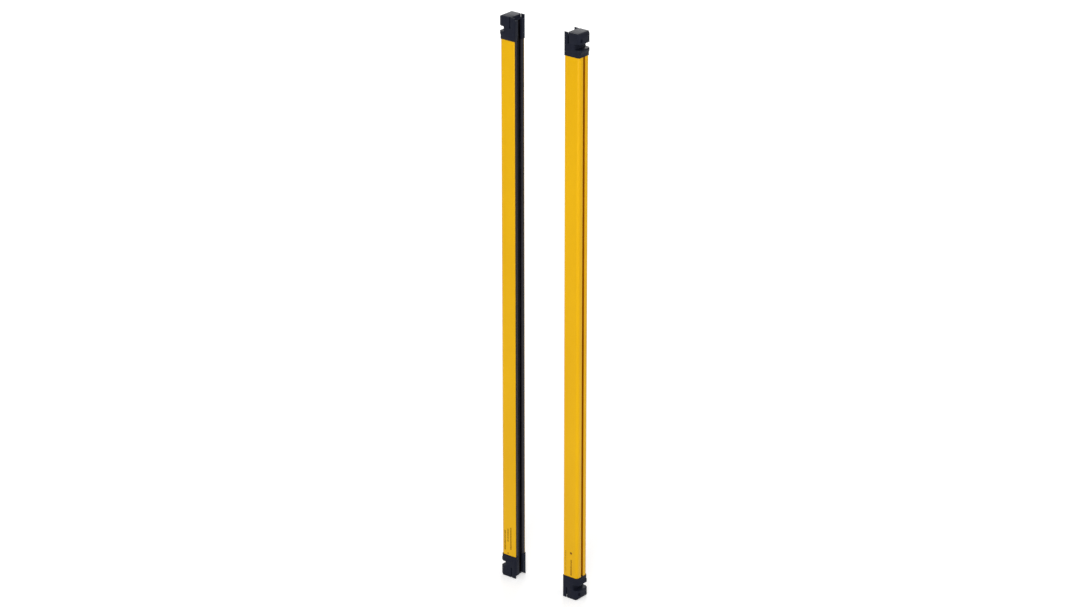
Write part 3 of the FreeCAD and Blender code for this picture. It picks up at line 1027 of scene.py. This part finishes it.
@dataclass
class Socket:
    """The plug-in connector at a bar's bottom end: threaded sleeve and contact pins."""

    side: Side
    finishes: Finishes
    ring_pins: int
    root_depth: float = 0.55 * MM
    thread_pitch: float = 1.0 * MM
    lead_in: float = 0.6 * MM
    grip: float = 3.0 * MM
    mouth_bevel: float = 0.25 * MM
    turn_steps: int = 64
    pin_radius: float = 0.5 * MM
    pin_circle: float = 2.75 * MM
    thread_crease: float = 30.0
    pin_crease: float = 40.0

    def build(self) -> list[Object]:
        """Builds the sleeve and the pins.

        Returns:
            The new pieces.
        """
        return [self.sleeve(), self.pins()]

    def axis(self) -> Vector:
        """Point on the sleeve's axis at its open end."""
        low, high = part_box(f"{self.side.label}_connector_shell")
        return Vector(((low[0] + high[0]) / 2, (low[1] + high[1]) / 2, low[2]))

    def sleeve(self) -> Object:
        """Turns the sleeve and winds the thread's ridge round it.

        Returns:
            The sleeve.
        """
        node = f"{self.side.label}_connector_shell"
        low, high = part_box(node)
        crest = (high[0] - low[0]) / 2
        height = high[2] - low[2]
        core_low, core_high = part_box(f"{self.side.label}_connector_core")
        bore = (core_high[0] - core_low[0]) / 2
        root = crest - self.root_depth
        lead = self.lead_in
        outline = [
            (bore + self.mouth_bevel, 0.0),
            (root - lead / 2, 0.0),
            (root, lead / 2),
            (root, height - self.grip),
            (crest, height - self.grip),
            (crest, height),
            (bore, height),
            (bore, self.mouth_bevel),
        ]
        turned = turned_mesh("sleeve body", outline, self.axis(), self.turn_steps)
        body = add_object("sleeve body", turned)
        ridge = self.root_depth / 2
        length = height - self.grip - 2 * lead - self.thread_pitch
        values = {
            "Radius": crest - ridge,
            "Turns": length / self.thread_pitch,
            "Length": length,
            "Ridge": ridge,
            "Material": self.finishes.by_slot[Slot.NICKEL],
        }
        start = Matrix.Translation(self.axis() + Vector((0.0, 0.0, lead + self.thread_pitch / 2)))
        thread = thread_graph().make("thread", values, start)
        piece = joined(f"{self.side.label}_threaded_sleeve", [body, thread])
        smooth_but_edges(piece.data, self.thread_crease)
        return self.settle(piece, Slot.NICKEL, node)

    def pins(self) -> Object:
        """Builds the round contact pins with their domed tips.

        Returns:
            The pins as one piece.
        """
        node = f"{self.side.label}_connector_pins"
        low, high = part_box(node)
        values = {
            "Count": self.ring_pins,
            "Circle": self.pin_circle,
            "Radius": self.pin_radius,
            "Length": high[2] - low[2],
            "Material": self.finishes.by_slot[Slot.GOLD],
        }
        axis = self.axis()
        top = Matrix.Translation(Vector((axis.x, axis.y, high[2])))
        piece = pin_graph().make(f"{self.side.label}_round_pins", values, top)
        smooth_but_edges(piece.data, self.pin_crease)
        return self.settle(piece, Slot.GOLD, node)

    def settle(self, piece: Object, slot: Slot, node: str) -> Object:
        """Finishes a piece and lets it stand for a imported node.

        Args:
            piece: The new piece.
            slot: Its material slot.
            node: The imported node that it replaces.

        Returns:
            The piece.
        """
        self.finishes.dress(piece, slot)
        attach(piece, BODY)
        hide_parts(node)
        return piece


@dataclass(frozen=True)
class PrintColumn:
    """One column of plain printed bars, measured from the profile's rear edge and lower end."""

    name: str
    from_rear: float
    start: float
    length: float
    bar_width: float
    bar_height: float
    shortest: float
    seed: int
    pitch: float = 2.0 * MM


@dataclass
class PrintedMarks:
    """Plain printed bars and a dot on a bar's side, with no words or signs."""

    side: Side
    finishes: Finishes
    columns: list[PrintColumn]
    dot_from_rear: float
    dot_height: float
    dot_radius: float
    dot_corners: int = 28
    lift: float = 0.04 * MM

    def build(self) -> list[Object]:
        """Prints the columns and the dot.

        Returns:
            The new pieces.
        """
        pieces = [self.column(column) for column in self.columns]
        pieces.append(self.dot())
        return pieces

    def place(self, from_rear: float, height: float) -> Vector:
        """Point on the side face.

        Args:
            from_rear: Distance from the profile's rear edge.
            height: Distance above the profile's lower end.

        Returns:
            The point, lifted by the ink's thickness.
        """
        low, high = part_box(f"{self.side.label}_housing")
        rear = low[0] if self.side.facing > 0 else high[0]
        return Vector((rear + self.side.facing * from_rear, low[1] - self.lift, low[2] + height))

    def column(self, column: PrintColumn) -> Object:
        """Prints one column of bars.

        Args:
            column: The column's sizes.

        Returns:
            The printed piece.
        """
        values = {
            "Count": int(column.length / column.pitch),
            "Pitch": column.pitch,
            "Width": column.bar_width,
            "Height": column.bar_height,
            "Shortest": column.shortest,
            "Seed": column.seed,
            "Material": self.finishes.ink,
        }
        start = Matrix.Translation(self.place(column.from_rear, column.start))
        piece = dash_graph().make(f"{self.side.label}_{column.name}", values, start)
        return self.settle(piece)

    def dot(self) -> Object:
        """Prints the dot.

        Returns:
            The printed piece.
        """
        upright = Matrix.Rotation(math.pi / 2, 4, "X")
        place = Matrix.Translation(self.place(self.dot_from_rear, self.dot_height)) @ upright
        name = f"{self.side.label}_printed_dot"
        piece = disc(name, self.dot_radius, self.dot_corners, place)
        piece.data.materials.append(self.finishes.dot_ink)
        return self.settle(piece)

    def settle(self, piece: Object) -> Object:
        """Lets a print ride with the profile.

        Args:
            piece: The printed piece.

        Returns:
            The piece.
        """
        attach(piece, BODY)
        return piece


@dataclass
class Bar:
    """One bar of the set."""

    side: Side
    finishes: Finishes
    socket: Socket
    marks: PrintedMarks
    cap_skin: SoftSkin = SoftSkin(radius=0.35 * MM)
    profile_skin: SoftSkin = SoftSkin(radius=0.25 * MM)

    def build(self) -> None:
        """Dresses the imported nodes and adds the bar's fine pieces."""
        self.dress_nodes()
        for part in ("top_cap", "bottom_cap"):
            self.report(self.skin(self.cap_skin, part, f"moulded_{part}"))
        for part in ("housing", "front_rail_left", "front_rail_right"):
            self.report(self.skin(self.profile_skin, part, f"extruded_{part}"))
        for piece in self.socket.build() + self.marks.build():
            self.report(piece)

    def dress_nodes(self) -> None:
        """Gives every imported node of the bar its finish."""
        for node, slot in NODE_SLOTS.items():
            if node.startswith(self.side.label):
                self.finishes.dress(frame["nodes"][node], slot)

    def skin(self, skin: SoftSkin, part: str, name: str) -> Object:
        """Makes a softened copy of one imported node.

        Args:
            skin: The edge radius to use.
            part: The node's name without the bar's prefix.
            name: The new piece's name without the bar's prefix.

        Returns:
            The new piece.
        """
        node = f"{self.side.label}_{part}"
        piece = skin.make(node, f"{self.side.label}_{name}")
        self.finishes.dress(piece, NODE_SLOTS[node])
        return piece

    def report(self, piece: Object) -> None:
        """Logs one finished piece."""
        LOG.info("%s: %d faces", piece.name, len(piece.data.polygons))


# ---- Studio ------------------------------------------------------------------


@dataclass(frozen=True)
class Panel:
    """One soft lamp, with its place measured from the middle of the set."""

    name: str
    offset: Triple
    size: Span
    power: float

    def build(self, middle: Vector) -> None:
        """Hangs the lamp so that it shines on the bars.

        Args:
            middle: The middle of the set.
        """
        light = bpy.data.lights.new(self.name, "AREA")
        light.shape = "RECTANGLE"
        light.size, light.size_y = self.size
        light.energy = self.power
        lamp = bpy.data.objects.new(self.name, light)
        bpy.context.scene.collection.objects.link(lamp)
        lamp.location = middle + Vector(self.offset)
        lamp.rotation_euler = Vector(self.offset).to_track_quat("Z", "Y").to_euler()


@dataclass
class Studio:
    """Pale floor, soft light and the camera."""

    azimuth: float = 38.5
    elevation: float = 22.6
    distance: float = 7.5
    lens: float = 132.4
    sensor: float = 36.0
    reach: float = 200.0
    aside: float = 8.2 * MM
    above: float = 17.0 * MM
    floor_radius: float = 60.0
    floor_corners: int = 96
    floor_colour: Colour = (0.86, 0.86, 0.86)
    floor_lift: float = 0.43
    far_lift: float = 0.62
    fade: Span = (3.0, 10.0)
    world_level: float = 0.5
    panels: tuple[Panel, ...] = (
        Panel("key panel", (2.7, -4.4, 2.2), (1.4, 3.0), 142.0),
        Panel("side panel", (5.0, 0.6, 2.2), (1.6, 2.4), 14.0),
        Panel("back panel", (-3.0, 4.4, 2.4), (1.4, 3.0), 70.0),
    )

    def build(self) -> None:
        """Builds floor, light and camera."""
        self.floor()
        self.world()
        middle = (Vector(CAD_BOUNDS[0]) + Vector(CAD_BOUNDS[1])) / 2
        for panel in self.panels:
            panel.build(middle)
        self.camera(middle)

    def floor(self) -> None:
        """Plain pale floor that keeps the bars' soft shadow."""
        floor = disc("floor", self.floor_radius, self.floor_corners, Matrix.Identity(4))
        material = bpy.data.materials.new("floor white")
        material.use_nodes = True
        graph = NodeGraph(material.node_tree)
        paint = graph.add("ShaderNodeBsdfDiffuse", {"Color": (*self.floor_colour, 1.0)})
        away = graph.add(
            "ShaderNodeVectorMath",
            {"Vector": graph.add("ShaderNodeTexCoord").outputs["Object"]},
            operation="LENGTH",
        ).outputs["Value"]
        near, far = self.fade
        fading = {
            "Value": away,
            "From Min": near,
            "From Max": far,
            "To Min": self.floor_lift,
            "To Max": self.far_lift,
        }
        lift = graph.add("ShaderNodeMapRange", fading).outputs["Result"]
        glow = graph.add("ShaderNodeEmission", {"Strength": self.seen(graph, lift)})
        both = graph.add("ShaderNodeAddShader")
        graph.join(paint.outputs["BSDF"], both.inputs[0])
        graph.join(glow.outputs["Emission"], both.inputs[1])
        output = graph.add("ShaderNodeOutputMaterial")
        graph.join(both.outputs["Shader"], output.inputs["Surface"])
        floor.data.materials.append(material)

    def seen(self, graph: NodeGraph, strength: object) -> NodeSocket:
        """A strength that only straight, mirrored and refracted looks get.

        Args:
            graph: The tree to add to.
            strength: A number or a socket.

        Returns:
            The strength for such looks, and nothing for the others.
        """
        rays = graph.add("ShaderNodeLightPath").outputs
        straight = graph.math("MAXIMUM", rays["Is Camera Ray"], rays["Is Glossy Ray"])
        any_look = graph.math("MAXIMUM", straight, rays["Is Transmission Ray"])
        return graph.math("MULTIPLY", any_look, strength)

    def world(self) -> None:
        """White surroundings that light the bars at a plain level."""
        world = bpy.data.worlds.new("studio")
        world.use_nodes = True
        bpy.context.scene.world = world
        graph = NodeGraph(world.node_tree)
        lifted = graph.math("ADD", self.seen(graph, 1.0 - self.world_level), self.world_level)
        white = {"Color": (1.0, 1.0, 1.0, 1.0), "Strength": lifted}
        sky = graph.add("ShaderNodeBackground", white)
        output = graph.add("ShaderNodeOutputWorld")
        graph.join(sky.outputs["Background"], output.inputs["Surface"])

    def camera(self, middle: Vector) -> None:
        """Adds the camera, far enough off for the bars to stay almost upright.

        Args:
            middle: The middle of the object.
        """
        turn, rise = math.radians(self.azimuth), math.radians(self.elevation)
        level = math.cos(rise)
        back = Vector((math.sin(turn) * level, -math.cos(turn) * level, math.sin(rise)))
        right = Vector((math.cos(turn), math.sin(turn), 0.0))
        data = bpy.data.cameras.new("camera")
        data.lens = self.lens
        data.sensor_width = self.sensor
        data.clip_end = self.reach
        camera = bpy.data.objects.new("camera", data)
        bpy.context.scene.collection.objects.link(camera)
        aim = middle - right * self.aside + Vector((0.0, 0.0, self.above))
        camera.location = aim + back * self.distance
        camera.rotation_euler = back.to_track_quat("Z", "Y").to_euler()
        bpy.context.scene.camera = camera
        bpy.context.scene.view_settings.view_transform = "Standard"


# ---- The set -----------------------------------------------------------------


def emitter(finishes: Finishes) -> Bar:
    """Plans the emitter, with its printed block of three columns beside the cap.

    Args:
        finishes: The set's finishes.

    Returns:
        The bar, not built yet.
    """
    rear = PrintColumn(
        name="print_rear",
        from_rear=8.2 * MM,
        start=11.0 * MM,
        length=43.0 * MM,
        bar_width=3.8 * MM,
        bar_height=1.4 * MM,
        shortest=0.6,
        seed=3,
    )
    middle = PrintColumn(
        name="print_middle",
        from_rear=15.4 * MM,
        start=30.0 * MM,
        length=29.0 * MM,
        bar_width=3.4 * MM,
        bar_height=1.4 * MM,
        shortest=0.6,
        seed=7,
    )
    front = PrintColumn(
        name="print_front",
        from_rear=22.5 * MM,
        start=14.0 * MM,
        length=48.0 * MM,
        bar_width=3.2 * MM,
        bar_height=1.6 * MM,
        shortest=0.75,
        seed=11,
    )
    marks = PrintedMarks(
        side=Side.EMITTER,
        finishes=finishes,
        columns=[rear, middle, front],
        dot_from_rear=15.4 * MM,
        dot_height=3.9 * MM,
        dot_radius=1.5 * MM,
    )
    return Bar(Side.EMITTER, finishes, Socket(Side.EMITTER, finishes, ring_pins=4), marks)


def receiver(finishes: Finishes) -> Bar:
    """Plans the receiver, printed in the middle of its side and near its front.

    Args:
        finishes: The set's finishes.

    Returns:
        The bar, not built yet.
    """
    middle = PrintColumn(
        name="print_middle",
        from_rear=14.6 * MM,
        start=4.5 * MM,
        length=34.0 * MM,
        bar_width=3.6 * MM,
        bar_height=1.5 * MM,
        shortest=0.7,
        seed=5,
    )
    front = PrintColumn(
        name="print_front",
        from_rear=27.8 * MM,
        start=9.0 * MM,
        length=48.0 * MM,
        bar_width=2.6 * MM,
        bar_height=0.9 * MM,
        pitch=2.2 * MM,
        shortest=0.4,
        seed=9,
    )
    marks = PrintedMarks(
        side=Side.RECEIVER,
        finishes=finishes,
        columns=[middle, front],
        dot_from_rear=15.0 * MM,
        dot_height=51.0 * MM,
        dot_radius=2.4 * MM,
    )
    return Bar(Side.RECEIVER, finishes, Socket(Side.RECEIVER, finishes, ring_pins=7), marks)


def main() -> None:
    """Builds the set and the studio."""
    logging.basicConfig(level=logging.INFO, format="%(message)s")
    finishes = Finishes()
    for bar in (emitter(finishes), receiver(finishes)):
        bar.build()
    Studio().build()


if __name__ == "__main__":
    main()
